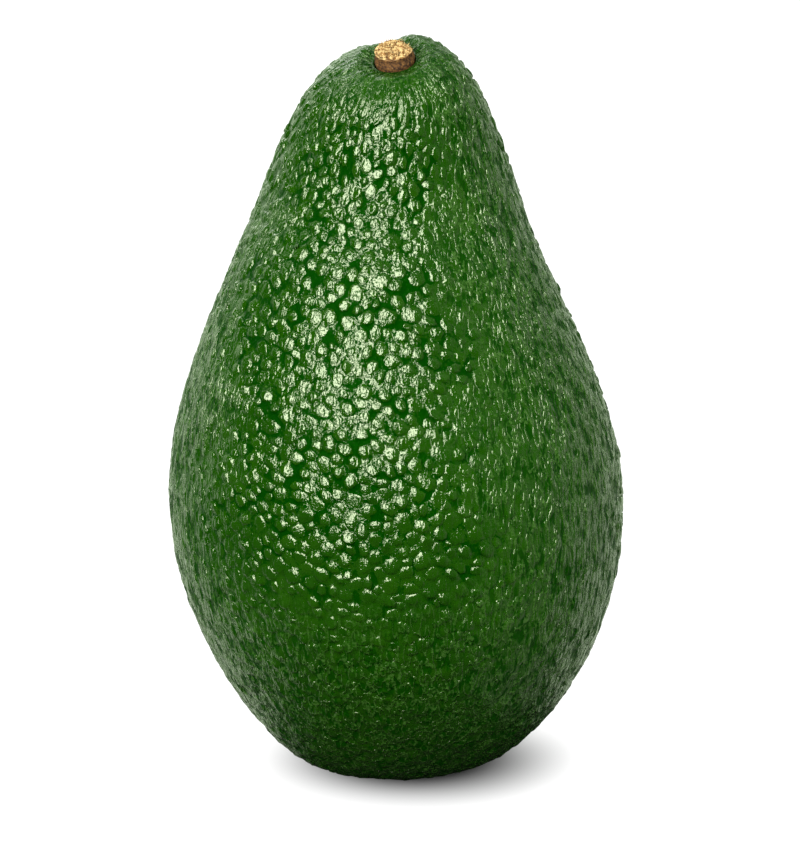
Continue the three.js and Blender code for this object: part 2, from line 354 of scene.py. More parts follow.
class ShapeBoard(Board):
    """A Geometry Nodes tree that changes a mesh, with named inputs for its sizes."""

    def __init__(self, name: str, sizes: dict[str, float]) -> None:
        """Makes a tree with an input for the mesh and one for each size.

        Args:
            name: The tree's name.
            sizes: The sizes' names and values.
        """
        tree = bpy.data.node_groups.new(name, "GeometryNodeTree")
        super().__init__(tree)
        tree.interface.new_socket("Geometry", in_out="INPUT", socket_type="NodeSocketGeometry")
        for size in sizes:
            tree.interface.new_socket(size, in_out="INPUT", socket_type="NodeSocketFloat")
        tree.interface.new_socket("Geometry", in_out="OUTPUT", socket_type="NodeSocketGeometry")
        self.sizes = sizes
        self.shape, *inputs = self.node("NodeGroupInput")
        self.inputs = dict(zip(sizes, inputs))

    def layer(self, layer: Layer) -> Wire:
        """A number that the mesh carries."""
        settings = {"data_type": "FLOAT"}
        return self.node("GeometryNodeInputNamedAttribute", settings, {"Name": layer.value})[0]

    def keep(self, layer: Layer, value: Wire) -> None:
        """Has the mesh carry a number from here on."""
        settings = {"data_type": "FLOAT", "domain": "POINT"}
        self.change("GeometryNodeStoreNamedAttribute", settings, {"Name": layer.value, "Value": value})

    def change(self, kind: str, settings: dict[str, Any], sockets: dict[str, Any]) -> None:
        """Passes the shape through a node, with these settings and further inputs."""
        self.shape = self.node(kind, settings, {0: self.shape, **sockets})[0]

    def shift(self, offset: Wire) -> None:
        """Moves each point by an offset."""
        self.change("GeometryNodeSetPosition", {}, {"Offset": offset})

    def finish(self, material: bpy.types.Material) -> None:
        """Ends the tree: smooth, realised, and in its material.

        Args:
            material: The material.
        """
        self.change("GeometryNodeSetShadeSmooth", {}, {})
        self.change("GeometryNodeRealizeInstances", {}, {})
        self.change("GeometryNodeSetMaterial", {}, {"Material": material})
        self.node("NodeGroupOutput", None, {0: self.shape})

    def made_on(self, name: str, base: bpy.types.Mesh) -> bpy.types.Object:
        """Runs the tree on a mesh.

        Args:
            name: The name of the piece.
            base: The mesh that the tree starts from.

        Returns:
            The piece, with the result as its plain mesh and no modifier.
        """
        piece = bpy.data.objects.new(name, base)
        bpy.context.scene.collection.objects.link(piece)
        modifier = piece.modifiers.new("shape", "NODES")
        modifier.node_group = self.tree
        for item in self.tree.interface.items_tree:
            if item.in_out == "INPUT" and item.name in self.sizes:
                modifier[item.identifier] = self.sizes[item.name]
        graph = bpy.context.evaluated_depsgraph_get()
        shaped = bpy.data.meshes.new_from_object(
            piece.evaluated_get(graph), preserve_all_data_layers=True, depsgraph=graph
        )
        piece.modifiers.clear()
        piece.data = shaped
        bpy.data.meshes.remove(base)
        shaped.name = name
        return piece


@dataclass
class Draft:
    """A mesh in the making: its points in millimetres, its faces, and the numbers at its points."""

    points: Array
    faces: list[tuple[int, ...]]
    layers: dict[Layer, Array]

    def cleaned(self) -> "Draft":
        """Drops the points that no face uses.

        Returns:
            The same mesh without them.
        """
        used = np.zeros(len(self.points), dtype=bool)
        used[[place for face in self.faces for place in face]] = True
        renamed = (np.cumsum(used) - 1).tolist()
        faces = [tuple(renamed[place] for place in face) for face in self.faces]
        layers = {layer: values[used] for layer, values in self.layers.items()}
        return Draft(self.points[used], faces, layers)

    def mesh(self, name: str) -> bpy.types.Mesh:
        """Makes the mesh, in metres.

        Args:
            name: Its name.

        Returns:
            The mesh, with a point attribute for each layer.
        """
        made = bpy.data.meshes.new(name)
        made.from_pydata((self.points * MM).tolist(), [], self.faces)
        for layer, values in self.layers.items():
            attribute = made.attributes.new(layer.value, "FLOAT", "POINT")
            attribute.data.foreach_set("value", np.ascontiguousarray(values, dtype=np.float32))
        made.update()
        return made


# ---- The smooth body --------------------------------------------------------------------------------


@dataclass
class Rows:
    """Rings of the body: each value is an array with a number for each ring, from the blossom end up.

    radius, height and sway place the ring, out and up are its normal, length and to_stem are its
    distances from the two ends over the skin, turns places it on the ball, and share is the part of the
    pebbles that lie below it.
    """

    radius: Array
    height: Array
    sway: Array
    out: Array
    up: Array
    length: Array
    to_stem: Array
    turns: Array
    share: Array

    def where(self, known: str, wanted: Array) -> "Rows":
        """The rings where the value of the name known, which rises from ring to ring, is as wanted."""
        ladder = getattr(self, known)
        return Rows(**{name: np.interp(wanted, ladder, values) for name, values in vars(self).items()})


@dataclass(frozen=True)
class CalmSide:
    """A side of the fruit where the pebbles are lower, by a share, about an azimuth and a height."""

    share: float
    azimuth: float
    spread: float
    height: float
    reach: float


@dataclass(frozen=True)
class Body:
    """The fruit without its pebbles: a turned body, swayed, bent at its stem end and softly uneven.

    Distances are in millimetres and angles in degrees. Azimuth -90 is the camera's side, and 0 its right.
    """

    # Radius, height and sway of the outline's control points, from the blossom end up.
    outline: tuple[Triple, ...] = (
        (0, -0.8, 0), (9.5, -0.8, 0), (17.4, 2.1, 0.4), (25.1, 11.4, 1), (31.9, 24.7, 0.5),
        (34.4, 39.2, 0.1), (32.5, 54.2, -0.3), (26.8, 69.2, -0.9), (19.8, 84.2, -1.4),
        (15.7, 97.2, -1.3), (10.2, 107.6, 0.6), (3, 109.7, 1.2), (0, 109.9, 1.2),
    )
    steps: int = 2400
    undulation: float = 0.35
    undulation_lengths: Triple = (9, 8, 10)
    undulation_phases: Triple = (1.1, 0.4, 0.9)
    stem_lean: float = 22
    stem_azimuth: float = -108
    bend_pivot: float = 97
    bend_start: float = 77
    bend_end: float = 109
    pit_depth: float = 1.3
    pit_floor: float = 2.8
    pit_rim: float = 6
    shoulder_distance: float = 9
    shoulder_width: float = 6
    hump: Triple = (0.5, 58, 22)  # its rise, its azimuth and its spread
    groove: Triple = (0.9, 97, 14)  # its depth, its azimuth and its spread
    scar_depth: float = 0.55  # the blossom's scar, in the middle of the resting spot
    scar_reach: float = 1.7
    crowding: float = 1.4  # how many more pebbles there are by the stem than on the belly
    crowding_reach: float = 15
    stretch: float = 1.1  # how much longer than wide the pebbles are some way below the stem
    stretch_distance: float = 14
    stretch_reach: float = 15
    calm_sides: tuple[CalmSide, ...] = (CalmSide(0.92, -32, 25, 60, 70), CalmSide(0.92, 186, 21, 44, 44))
    calm_edge: Pair = (0.05, 0.9)  # where on its bell a calm side starts, and is fully calm
    raggedness: float = 0.13  # how far the edges of the calm sides stray, in radians
    # The waves of those edges: their strength, the climb of a radian of each, and how many go round.
    ragged_waves: tuple[Triple, ...] = ((1, 4.7, 3), (0.6, 2.1, -8))
    calm_stem: Pair = (0.8, 8.5)  # the calmer stem end: how much lower its pebbles are, and how far
    calm_base: Triple = (0.75, 12, 48)  # the calmer foot: how much, and between which heights

    def crowded(self, to_stem: Array) -> Array:
        """How many times more pebbles there are than on the belly, by the distance from the stem."""
        return 1 + self.crowding * hill(to_stem, 0, self.crowding_reach)

    def calmness(self, rows: Rows, azimuth: Array) -> Array:
        """How much lower the pebbles stand than elsewhere.

        Args:
            rows: Each place's ring.
            azimuth: Each place's azimuth.

        Returns:
            The shares that their height loses.
        """
        ragged = azimuth + self.raggedness * sum(
            strength * np.sin(rows.height / climb + count * azimuth)
            for strength, climb, count in self.ragged_waves
        )
        sides = sum(
            side.share
            * smoothstep(bell(ragged, side.azimuth, side.spread), *self.calm_edge)
            * hill(rows.height, side.height, side.reach)
            for side in self.calm_sides
        )
        stem = self.calm_stem[0] * hill(rows.to_stem, 0, self.calm_stem[1])
        base = self.calm_base[0] * (1 - smoothstep(rows.height, *self.calm_base[1:]))
        return 1 - (1 - sides) * (1 - base) * (1 - stem)

    def spline(self) -> Array:
        """Draws a smooth curve, a cubic B-spline, along the outline's control points.

        Returns:
            Radius, height and sway, with a number each for every ring.
        """
        controls = np.array(self.outline, dtype=float)
        mirror = np.array((-1.0, 1.0, 1.0))
        padded = np.vstack((controls[1] * mirror, controls, controls[-2] * mirror))
        spans = len(controls) - 1
        t = np.linspace(0, spans, self.steps + 1)
        span = np.minimum(t.astype(int), spans - 1)
        f = t - span
        curve = ((1 - f) ** 3, 3 * f**3 - 6 * f**2 + 4, -3 * f**3 + 3 * f**2 + 3 * f + 1, f**3)
        weights = np.stack(curve, axis=1) / 6
        return np.einsum("ni,nic->nc", weights, padded[span[:, None] + np.arange(4)]).T

    def rows(self) -> Rows:
        """The body's rings, close together.

        Returns:
            The rings, from the blossom end up.
        """
        radius, height, sway = self.spline()
        gaps = np.hypot(np.diff(radius), np.diff(height))
        length = climbed(gaps)
        to_stem = length[-1] - length
        slope = np.stack((np.gradient(radius, length), np.gradient(height, length)))
        slope /= np.linalg.norm(slope, axis=0)
        slope[:, 0], slope[:, -1] = (1, 0), (-1, 0)
        share = climbed(gaps * halfway(radius) * halfway(self.crowded(to_stem)))
        longer = 1 + self.stretch * hill(to_stem, self.stretch_distance, self.stretch_reach)
        turns = climbed(gaps / halfway(radius) / halfway(longer))
        return Rows(
            radius=radius,
            height=height,
            sway=sway,
            out=slope[1],
            up=-slope[0],
            length=length,
            to_stem=to_stem,
            turns=turns - turns[np.argmax(radius)],
            share=share / share[-1],
        )

    def turned(self, vectors: Array, height: Array) -> Array:
        """Turns vectors over with the stem end.

        Args:
            vectors: What to turn.
            height: The height of the ring that each is on.

        Returns:
            The turned vectors.
        """
        azimuth = math.radians(self.stem_azimuth)
        axis = np.array((-math.sin(azimuth), math.cos(azimuth), 0.0))
        angle = math.radians(self.stem_lean) * smoothstep(height, self.bend_start, self.bend_end)
        cosine, sine = np.cos(angle)[..., None], np.sin(angle)[..., None]
        along = (vectors @ axis)[..., None] * axis
        return vectors * cosine + np.cross(axis, vectors) * sine + along * (1 - cosine)

    def bent(self, points: Array, height: Array, sway: Array) -> Array:
        """Bends points over with the stem end, and sways them with the core.

        Args:
            points: Points of the upright body.
            height: The height of each one's ring.
            sway: The sway of each one's ring.

        Returns:
            The points where the fruit has them.
        """
        pivot = np.array((0.0, 0.0, self.bend_pivot))
        moved = self.turned(points - pivot, height) + pivot
        moved[..., 0] += sway
        return moved

    def relief(self, points: Array, rows: Rows, azimuth: Array) -> Array:
        """How far the skin stands out of the bent body, pebbles left out.

        Args:
            points: Points of the bent body.
            rows: Each one's ring.
            azimuth: Each one's azimuth.

        Returns:
            The heights.
        """
        waves = np.sin(points / np.array(self.undulation_lengths) + np.array(self.undulation_phases))
        pit = 1 - smoothstep(rows.to_stem, self.pit_floor, self.pit_rim)
        shoulder = hill(rows.to_stem, self.shoulder_distance, self.shoulder_width)
        hump = self.hump[0] * bell(azimuth, *self.hump[1:])
        groove = self.groove[0] * bell(azimuth, *self.groove[1:])
        scar = self.scar_depth * hill(rows.length, 0, self.scar_reach)
        soft = self.undulation * waves.prod(axis=-1)
        return soft - self.pit_depth * pit + shoulder * (hump - groove) - scar

    def skin(self, rows: Rows, azimuth: Array) -> Array:
        """Points of the skin, pebbles left out.

        Args:
            rows: Each point's ring.
            azimuth: Each point's azimuth.

        Returns:
            The points.
        """
        points = self.bent(around(azimuth, rows.radius, rows.height), rows.height, rows.sway)
        normals = self.turned(around(azimuth, rows.out, rows.up), rows.height)
        return points + normals * self.relief(points, rows, azimuth)[:, None]

    def stem_frame(self) -> tuple[Array, Array]:
        """The frame of the stem end.

        Returns:
            The middle of the pit, and the matrix whose columns are the frame's axes. The last one is the
            stem's.
        """
        rows = self.rows()
        top = rows.height[-1:]
        middle = self.bent(np.array(((0.0, 0.0, top[0] - self.pit_depth),)), top, rows.sway[-1:])
        axes = self.turned(np.eye(3), top.repeat(3))
        return middle[0], axes.T


# ---- The fruit --------------------------------------------------------------------------------------


@dataclass
class SkinPattern:
    """Numbers over the skin that its colour, its relief and its wax share."""

    to_stem: Wire  # the distance from the stem, in millimetres
    to_blossom: Wire  # the distance from the blossom end, in millimetres
    calm: Wire  # how calm the skin is
    sides: Wire  # 1 on the right and the left, 0 in front and behind
    outward: Wire  # the level way out from the stem
    grain: Wire
    speckle: Wire
    ripple: Wire
    gap: Wire  # 1 in the furrows between the pebbles, which get painted shade and dull skin
    shaded_crease: Wire  # 1 in the creases of the calm skin, which get painted shade
    thread: Wire  # 1 on the threads of the calm skin, whose pale colour is painted sheen
    scarred: Wire  # 1 on the blossom's scar


@dataclass(frozen=True)
class SkinFinish:
    """Green leathery skin: waxy pebble tops, dull furrows with painted shade, and ripples, creases with
    painted shade and threads with painted sheen where it is calm.
    """

    top: Triple = (0.0040, 0.0275, 0.0002)
    young: Triple = (0.0066, 0.0340, 0.0003)  # the pebbles of a paler tone
    deep: Triple = (0.0027, 0.0225, 0.0002)  # the patches of a darker one
    shaded: Triple = (0.0012, 0.0110, 0.0001)  # towards the blossom end
    # painted shade: the darker green of the furrows and of the creases
    furrow: Triple = (0.0003, 0.0165, 0.0)
    lenticel_and_sheen: Triple = (0.035, 0.085, 0.015)  # the pale dots, and the painted sheen of the threads
    collar: Triple = (0.012, 0.036, 0.003)  # round the stem
    scar: Triple = (0.05, 0.03, 0.012)
    wax_roughness: float = 0.12
    wax_ior: float = 1.68
    wax_tint: Triple = (0.9, 1.0, 0.68)
    dull_roughness: float = 0.3
    dull_ior: float = 1.5
    dull_specular: float = 0.15
    dull_tint: Triple = (0.01, 0.12, 0.0)
    mottle: Noise = Noise(11 * MM, 3.0, 0.55)
    speckle: Noise = Noise(0.7 * MM, 3.0, 0.6)
    grain: Noise = Noise(0.4 * MM, 2.0, 0.6, relief=0.1 * MM)
    wrinkle: Noise = Noise(0.7 * MM, 2.0, 0.55, upright=0.2, relief=0.2 * MM)
    ripple: Noise = Noise(1.3 * MM, 2.0, 0.55, upright=0.34, relief=0.3 * MM)
    thread: Noise = Noise(0.9 * MM, 1.0, 0.5, upright=0.22, relief=0.1 * MM)
    pucker: Noise = Noise(0.6 * MM, 2.0, 0.5, relief=0.4 * MM)
    pucker_radius: float = 9 * MM  # of the ring on which the puckers are read
    pucker_climb: float = 0.25 * MM  # how far their pattern moves on over a millimetre of skin
    lenticel_spacing: float = 3.1 * MM
    stem: Triple = (-0.0003, -0.0043, 0.1)  # the foot of the stem, in metres

    def pattern(self, board: ShaderBoard) -> SkinPattern:
        """Wires up the numbers that the parts of the finish share.

        Args:
            board: The material's tree.

        Returns:
            The numbers.
        """
        calm = board.layer(Layer.CALM)
        to_blossom = board.layer(Layer.TO_BLOSSOM)
        grain = board.noise(board.place, self.grain)
        speckle = board.noise(board.place, self.speckle)
        ripple = board.noise(board.place, self.ripple)
        outward = ((board.place - self.stem) * LEVEL).way()
        furrow = board.layer(Layer.FURROW) + (grain - 0.5) * 0.8 + (speckle - 0.5) * 0.4
        quiet = calm.step(0.1, 0.6)
        level = board.noise(board.place, self.thread) - 0.5
        return SkinPattern(
            to_stem=board.layer(Layer.TO_STEM),
            to_blossom=to_blossom,
            calm=calm,
            sides=(outward * outward).parts()[0].step(0.35, 0.8),
            outward=outward,
            grain=grain,
            speckle=speckle,
            ripple=ripple,
            gap=furrow.step(0.42, 0.66) * (1 - calm * 0.5),
            shaded_crease=ripple.step(0.49, 0.41) * quiet,
            thread=(level * level).step(0.006, 0.0) * quiet,
            scarred=(to_blossom + speckle * 2.2).step(3.2, 2.0),
        )

    def dots(self, board: ShaderBoard) -> Wire:
        """Scatters the lenticels.

        Args:
            board: The material's tree.

        Returns:
            A number that is 1 on a lenticel.
        """
        distance, tint = board.cells(board.place, self.lenticel_spacing)[:2]
        chosen, size = board.node("ShaderNodeSeparateColor", None, {0: tint})[:2]
        dot = (size * 0.07 + 0.04 - distance).step(0.0, 0.02)
        return dot * chosen.step(0.72, 0.78)

    def colour(self, board: ShaderBoard, skin: SkinPattern) -> Wire:
        """Lays the skin's colours over one another.

        Args:
            board: The material's tree.
            skin: The numbers over the skin.

        Returns:
            The colour.
        """
        tone = board.layer(Layer.TONE)
        mottle = board.noise(board.place, self.mottle)
        collar = skin.to_stem.step(7.0, 3.6) * (0.35 + 0.65 * skin.speckle.step(0.4, 0.6))
        colour = board.mix(tone.step(0.1, 1.0) * 0.6, self.top, self.young)
        for share, coat in (
            (mottle.step(0.42, 0.68) * 0.55, self.deep),
            (skin.to_blossom.step(58.0, 14.0) * 0.35, self.shaded),
            # painted shade in the furrows between the pebbles
            (skin.gap, self.furrow),
            (self.dots(board) * (1 - skin.gap) * 0.8, self.lenticel_and_sheen),
            (collar * 0.5, self.collar),
            (skin.scarred, self.scar),
            # painted shade in the creases of the calm skin
            (skin.shaded_crease * 0.7, self.furrow),
            # painted sheen: the threads of the calm skin are made paler
            (skin.thread * skin.grain.step(0.4, 0.6) * 0.5, self.lenticel_and_sheen),
        ):
            colour = board.mix(share, colour, coat)
        return colour

    def relief(self, board: ShaderBoard, skin: SkinPattern) -> Wire:
        """Adds up the finest relief: grain, ripples, threads, and the puckers that run out from the stem.

        Args:
            board: The material's tree.
            skin: The numbers over the skin.

        Returns:
            The height, in metres.
        """
        wrinkle = board.noise(board.place, self.wrinkle)
        lively = (1 - 1.1 * skin.calm).at_least(0.15)
        streaky = 0.95 - skin.calm * 0.3 + skin.calm * skin.sides * 3.2
        streaks = (wrinkle * self.wrinkle.relief + skin.ripple * self.ripple.relief) * streaky
        ring = skin.outward * ((self.pucker_radius,) * 3) + (skin.to_stem * self.pucker_climb).upward()
        pucker = board.noise(ring, self.pucker) * skin.to_stem.step(17.0, 9.0)
        fine = skin.grain * lively * self.grain.relief + streaks + skin.thread * self.thread.relief
        return fine + pucker * self.pucker.relief

    def dullness(self, skin: SkinPattern) -> Wire:
        """Leaves the wax on the pebbles, on the threads and a little on the calm sides.

        Args:
            skin: The numbers over the skin.

        Returns:
            The share of the dull skin in what shows.
        """
        tops = (1 - skin.gap).step(0.2, 0.8) * (0.1 + 0.9 * skin.grain.step(0.34, 0.5))
        wax = tops + skin.gap * skin.grain.step(0.62, 0.7) * 0.03 + skin.calm * skin.sides * 0.28
        wax = (wax + skin.thread * 0.6) * (0.3 + 0.7 * skin.to_stem.step(5.0, 15.0))
        return (1 - wax).at_least(skin.scarred).at_least(skin.shaded_crease * 0.95)

    def material(self) -> bpy.types.Material:
        """Builds the finish.

        Returns:
            The material, which reads the skin's layers.
        """
        board = ShaderBoard("avocado_skin")
        skin = self.pattern(board)
        shared = {"Base Color": self.colour(board, skin), "Normal": board.bump(self.relief(board, skin))}
        waxy = board.shader({
            **shared,
            "Roughness": self.wax_roughness,
            "IOR": self.wax_ior,
            "Specular Tint": (*self.wax_tint, 1.0),
        })
        dull = board.shader({
            **shared,
            "Roughness": self.dull_roughness + skin.shaded_crease * 0.3,
            "IOR": self.dull_ior,
            "Specular IOR Level": self.dull_specular,
            "Specular Tint": (*self.dull_tint, 1.0),
        })
        sockets = {0: self.dullness(skin), 1: waxy, 2: dull}
        return board.finish(board.node("ShaderNodeMixShader", None, sockets)[0])


@dataclass
class PebbleNet:
    """The net of the pebbles, on the unit ball.

    Round every pebble goes a walk from furrow corner to furrow corner. Each step of the walks has its
    pebble, the corner where it is, the edge of the net that it crosses next, and the place of the step
    that follows.
    """

    middles: Array  # the stem's pole first, the blossom's pole last
    corners: Array
    pebble: Array
    corner: Array
    edge: Array
    following: Array

    @classmethod
    def over(cls, azimuth: Array, turns: Array) -> "PebbleNet":
        """Builds the net.

        Args:
            azimuth: The azimuths of the pebbles' middles.
            turns: Their turns. The first is the stem's pole.

        Returns:
            The net over them and the blossom's pole.
        """
        triangles = cls.triangles(azimuth, turns)
        middles = np.vstack((on_ball(azimuth, turns), (0, 0, -1)))
        middles[0] = (0, 0, 1)
        corners = middles[triangles].sum(axis=1)
        corners /= np.linalg.norm(corners, axis=1)[:, None]
        return cls(middles, corners, *cls.walks(triangles))

    @staticmethod
    def triangles(azimuth: Array, turns: Array) -> Array:
        """Joins the pebbles' middles by triangles, seen from outside.

        Args:
            azimuth: Their azimuths.
            turns: Their turns. The first is the stem's pole.

        Returns:
            Three places each. The place after the last middle is the blossom's pole.
        """
        flat = around(azimuth, np.exp(-turns), 0.0)[:, :2]
        flat[0] = 0
        found = delaunay_2d_cdt([Vector(point) for point in flat], [], [], 0, 1e-9)
        origin = np.array([places[0] for places in found[3]])
        triangles = origin[np.array(found[2])]
        a, b, c = (flat[triangles[:, i]] for i in range(3))
        (ux, uy), (vx, vy) = (b - a).T, (c - a).T
        turned_over = ux * vy < uy * vx
        triangles[turned_over] = triangles[turned_over][:, ::-1]
        edges = {(t[i], t[(i + 1) % 3]) for t in triangles.tolist() for i in range(3)}
        pole = len(azimuth)
        closing = [(b, a, pole) for a, b in edges if (b, a) not in edges]
        return np.vstack((triangles, sorted(closing)))

    @staticmethod
    def walks(triangles: Array) -> tuple[Array, ...]:
        """Walks round every pebble.

        Args:
            triangles: The net's triangles, whose middles are the furrow corners.

        Returns:
            For each step: its pebble, its corner, the edge crossed next, and the place of the next step.
        """
        left, third, edge = {}, {}, {}
        for corner, (a, b, c) in enumerate(triangles.tolist()):
            for i, j, k in ((a, b, c), (b, c, a), (c, a, b)):
                left[i, j] = corner
                third[i, j] = k
                edge.setdefault((min(i, j), max(i, j)), len(edge))
        start = {i: j for i, j in left}
        steps = []
        for i in sorted(start):
            first, j = len(steps), start[i]
            while True:
                k = third[i, j]
                steps.append([i, left[i, j], edge[min(i, k), max(i, k)], len(steps) + 1])
                j = k
                if j == start[i]:
                    break
            steps[-1][-1] = first
        return tuple(np.array(steps).T)

    def before(self) -> Array:
        """The place of the step before each step."""
        return np.argsort(self.following)

    def at_corners(self, values: Array) -> Array:
        """The mean at each corner of a value of the three steps that pass it."""
        return np.bincount(self.corner, values, len(self.corners)) / 3


@dataclass
class Fruit:
    """The fruit: one closed skin of domed pebbles between furrows, with the stem's socket.

    The pebbles' middles are laid along a golden-angle spiral. A triangle net over them gives each pebble
    its neighbours, and the middles of the net's triangles are the corners where furrows meet.
    """

    body: Body
    finish: SkinFinish = field(default_factory=SkinFinish)
    pebbles: int = 4500
    jitter: float = 0.36  # how far a pebble strays, as a share of the distance between two
    folds: int = 26  # puckers of the skin that run out from the stem
    fold_jitter: float = 0.2
    fold_distance: float = 5.1
    pebbles_start: float = 6.7  # from the stem, over the skin
    foot: Pair = (0.66, 0.92)  # the least and the most that a pebble's foot reaches to its cell's corners
    foot_jitter: Pair = (0.82, 1.14)  # the same for a single corner of the foot, as a share of its reach
    widest_foot: float = 0.95
    roundness: float = 0.5
    # The rings of a pebble, from its foot inwards: how far out, how high, and how much they are a gap.
    dome: tuple[Triple, ...] = ((1.0, 0.0, 0.85), (0.84, 0.72, 0.45), (0.58, 0.96, 0.0))
    tilt: float = 0.44  # how much higher one side of a pebble may be than the other
    lowest_pebble: float = 0.3  # as a share of the tallest
    tallness: float = 0.8  # below 1, more of the pebbles are tall
    joined: float = 0.56  # the share of neighbours that run into one another
    joint_height: float = 0.75
    corner_height: float = 0.8  # of the corner between joined pebbles, as a share of their saddles
    joint_gap: float = 0.75  # how much less of a gap there is on the side of a joined pebble
    furrow_depth: float = 0.46
    unevenness: float = 0.28
    patch_size: float = 1.5
    swell: float = 0.16
    swell_size: float = 5.5
    streaky: Pair = (0.7, 2.4)  # how strong the unevenness is, and how much stronger on calm skin
    smooth_base: float = 6  # from the blossom end, over the skin
    stem_smoothness: float = 0.75  # how much lower the pebbles are by the stem
    smooth_stem: Pair = (2.5, 0.6)  # where that is most, and its reach as a share of the crowding's
    # The socket's rings, inward from the skin: radius, height, and how much each follows the skin's rim.
    socket_rim: float = 3.75
    rim_rise: float = -0.3
    socket: tuple[Triple, ...] = (
        (3.42, 0.03, 0.8), (3.2, -0.02, 0.5), (3.1, -0.2, 0.2), (3.07, -0.7, 0),
        (3.06, -1.35, 0), (2.9, -1.4, 0), (1.5, -1.4, 0),
    )
    seed: int = 11

    def middles(self, rows: Rows, random: np.random.Generator) -> tuple[Array, Array]:
        """Lays the pebbles' middles: the stem's pole, the folds, and the spiral, each a little astray.

        Args:
            rows: The body's rings.
            random: The source of the straying.

        Returns:
            Their azimuths and their lengths up the outline.
        """
        whole = rows.length[-1]
        stray = random.uniform(-self.fold_jitter, self.fold_jitter, (2, self.folds))
        fold_azimuth = (np.arange(self.folds) + stray[0]) * 2 * math.pi / self.folds
        fold_length = whole - self.fold_distance + stray[1]
        index = np.arange(self.pebbles)
        at = rows.where("share", (index + 0.5) / self.pebbles)
        area = np.trapz(2 * math.pi * rows.radius * self.body.crowded(rows.to_stem), rows.length)
        spacing = np.sqrt(area / self.pebbles / self.body.crowded(at.to_stem))
        stray = random.uniform(-self.jitter, self.jitter, (2, self.pebbles)) * spacing
        azimuth = index * math.pi * (3 - math.sqrt(5)) + stray[0] / np.maximum(at.radius, spacing)
        length = at.length + stray[1]
        laid = (at.to_stem > self.pebbles_start) & (length > spacing / 2)
        return (
            np.concatenate(([0.0], fold_azimuth, azimuth[laid])),
            np.concatenate(([whole], fold_length, length[laid])),
        )

    def domes(self, net: PebbleNet, random: np.random.Generator) -> tuple[Array, Array, Array, Array]:
        """Raises a dome on each cell. Its foot is rounder than the cell, and lifted where two join.

        Args:
            net: The net of the pebbles.
            random: The source of what differs from pebble to pebble.

        Returns:
            The points on the ball, their heights, how much they are a gap, and their tones. The order is
            the corners, the domes' rings from the foot inwards, and the pebbles' middles.
        """
        pebble, count = net.pebble, len(net.middles)
        spoke = net.corners[net.corner] - net.middles[pebble]
        long = np.linalg.norm(spoke, axis=1)
        mean = np.bincount(pebble, long, count) / np.maximum(np.bincount(pebble, minlength=count), 1)
        size = random.uniform(*self.foot, count)
        reach = size[pebble] * (mean[pebble] / long) ** self.roundness
        reach *= random.uniform(*self.foot_jitter, len(pebble))
        foot = spoke * np.minimum(reach, self.widest_foot)[:, None]
        joined = random.uniform(0, 1, net.edge.max() + 1) < self.joined
        joints = (joined[net.edge] + joined[net.edge[net.before()]]) / 2
        tall = random.uniform(self.lowest_pebble, 1, count) ** self.tallness
        tone = random.uniform(0, 1, count)
        lean = random.normal(0, self.tilt, (count, 3))
        slant = (spoke * lean[pebble]).sum(axis=1) / long
        lift = joints * self.joint_height * tall[pebble]

        points = [net.corners]
        heights = [net.at_corners(lift) * self.corner_height]
        gaps = [net.at_corners(1 - joints)]
        tones = [net.at_corners(tone[pebble])]
        for place, height, gap in self.dome:
            points.append(net.middles[pebble] + foot * place)
            heights.append(tall[pebble] * (height + slant * place * height) + lift * (1 - height))
            gaps.append(gap * (1 - self.joint_gap * joints))
            tones.append(tone[pebble])
        middles = (net.middles, tall, np.zeros(count), tone)
        kinds = (points, heights, gaps, tones)
        return tuple(np.concatenate((*values, last)) for values, last in zip(kinds, middles))

    def faces(self, net: PebbleNet) -> list[tuple[int, ...]]:
        """Joins the points of the domes by faces. The stem's own pebble has none, for the socket.

        Args:
            net: The net of the pebbles.

        Returns:
            The faces, by the places of the points in the order of the domes.
        """
        here = np.flatnonzero(net.pebble != 0)
        after = net.following[here]
        outer = (net.corner[here], net.corner[after])
        faces: list[tuple[int, ...]] = []
        first = len(net.corners)
        for _ in self.dome:
            inner = (first + here, first + after)
            faces += polygons(outer[0], outer[1], inner[1], inner[0])
            outer = inner
            first += len(net.pebble)
        return faces + polygons(*outer, first + net.pebble[here])

    def draft(self) -> Draft:
        """Lays the domes on the smooth skin, and adds the socket at its stem end.

        Returns:
            The mesh, whose layers say how its relief goes.
        """
        random = np.random.default_rng(self.seed)
        rows = self.body.rows()
        azimuth, length = self.middles(rows, random)
        net = PebbleNet.over(azimuth, rows.where("length", length).turns)
        domes, height, gap, tone = self.domes(net, random)
        azimuth, turns = off_ball(domes)
        length = rows.where("turns", turns).length
        # The stem's own pebble is the socket, so its rim is a true circle.
        rim = net.corner[net.pebble == 0]
        length[rim] = rows.length[-1] - self.socket_rim
        at = rows.where("length", length)
        at.radius[-len(net.middles)], at.radius[-1] = 0, 0
        calm = self.body.calmness(at, azimuth)
        rise = (height - 1) * self.pebbled(at) * (1 - calm)
        rise[rim] = self.rim_rise
        layers = {
            Layer.RISE: rise,
            Layer.FURROW: gap * (1 - calm),
            Layer.TONE: tone,
            Layer.GROWN: smoothstep(at.length, self.smooth_base / 2, 2 * self.smooth_base),
            Layer.TO_STEM: at.to_stem,
            Layer.TO_BLOSSOM: at.length,
            Layer.CALM: calm,
        }
        draft = Draft(self.body.skin(at, azimuth), self.faces(net), layers)
        self.add_socket(draft, rim)
        return draft.cleaned()

    def pebbled(self, rows: Rows) -> Array:
        """Lowers the pebbles by the stem, and where the fruit rests.

        Args:
            rows: Each place's ring.

        Returns:
            The shares of their height that are left.
        """
        middle, reach = self.smooth_stem
        by_stem = 1 - self.stem_smoothness * hill(rows.to_stem, middle, self.body.crowding_reach * reach)
        return by_stem * smoothstep(rows.length, self.smooth_base, 2 * self.smooth_base)

